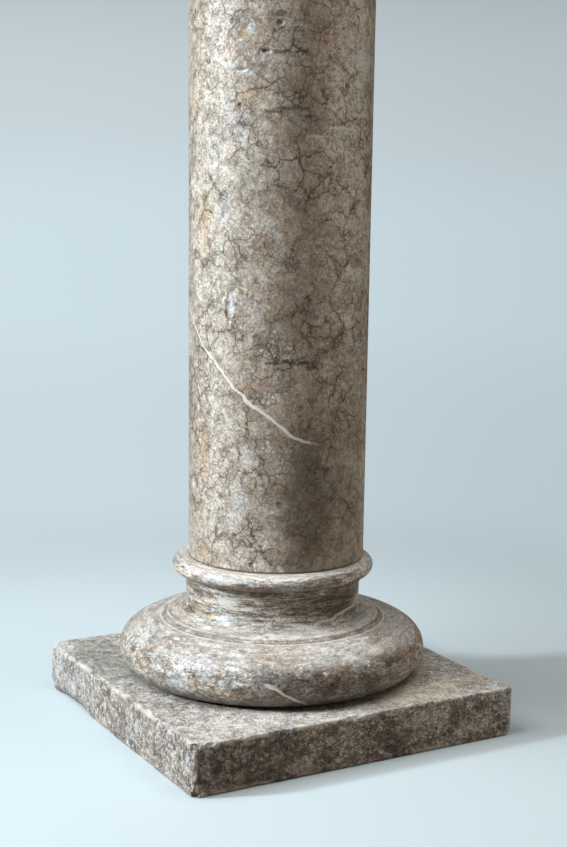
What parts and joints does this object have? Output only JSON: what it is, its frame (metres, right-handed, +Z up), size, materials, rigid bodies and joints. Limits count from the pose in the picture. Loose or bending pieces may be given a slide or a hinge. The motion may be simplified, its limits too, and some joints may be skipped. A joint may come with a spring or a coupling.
{
  "type": "doric column",
  "caption": "Free-standing marble column on a square plinth: turned base with torus and scotia, smooth unfluted shaft, plain Doric capital and square abacus.",
  "frame": {"origin": "centre of the plinth's underside, on the floor", "axes": "+Z up along the column; the plinth's faces are square to X and Y"},
  "size_m": [0.3, 0.3, 1.1],
  "materials": {
    "slab_marble": "grey-brown veined marble, honed, with worn and chipped arrises",
    "turned_marble": "pinkish-grey veined marble, polished, with ochre stains",
    "shaft_marble": "taupe breccia marble, polished, with dark crackle veins and one white vein"
  },
  "bodies": {
    "root": {"plinth": "slab_marble", "base_moulding": "turned_marble", "shaft": "shaft_marble", "capital": "turned_marble", "abacus": "slab_marble"}
  },
  "joints": []
}
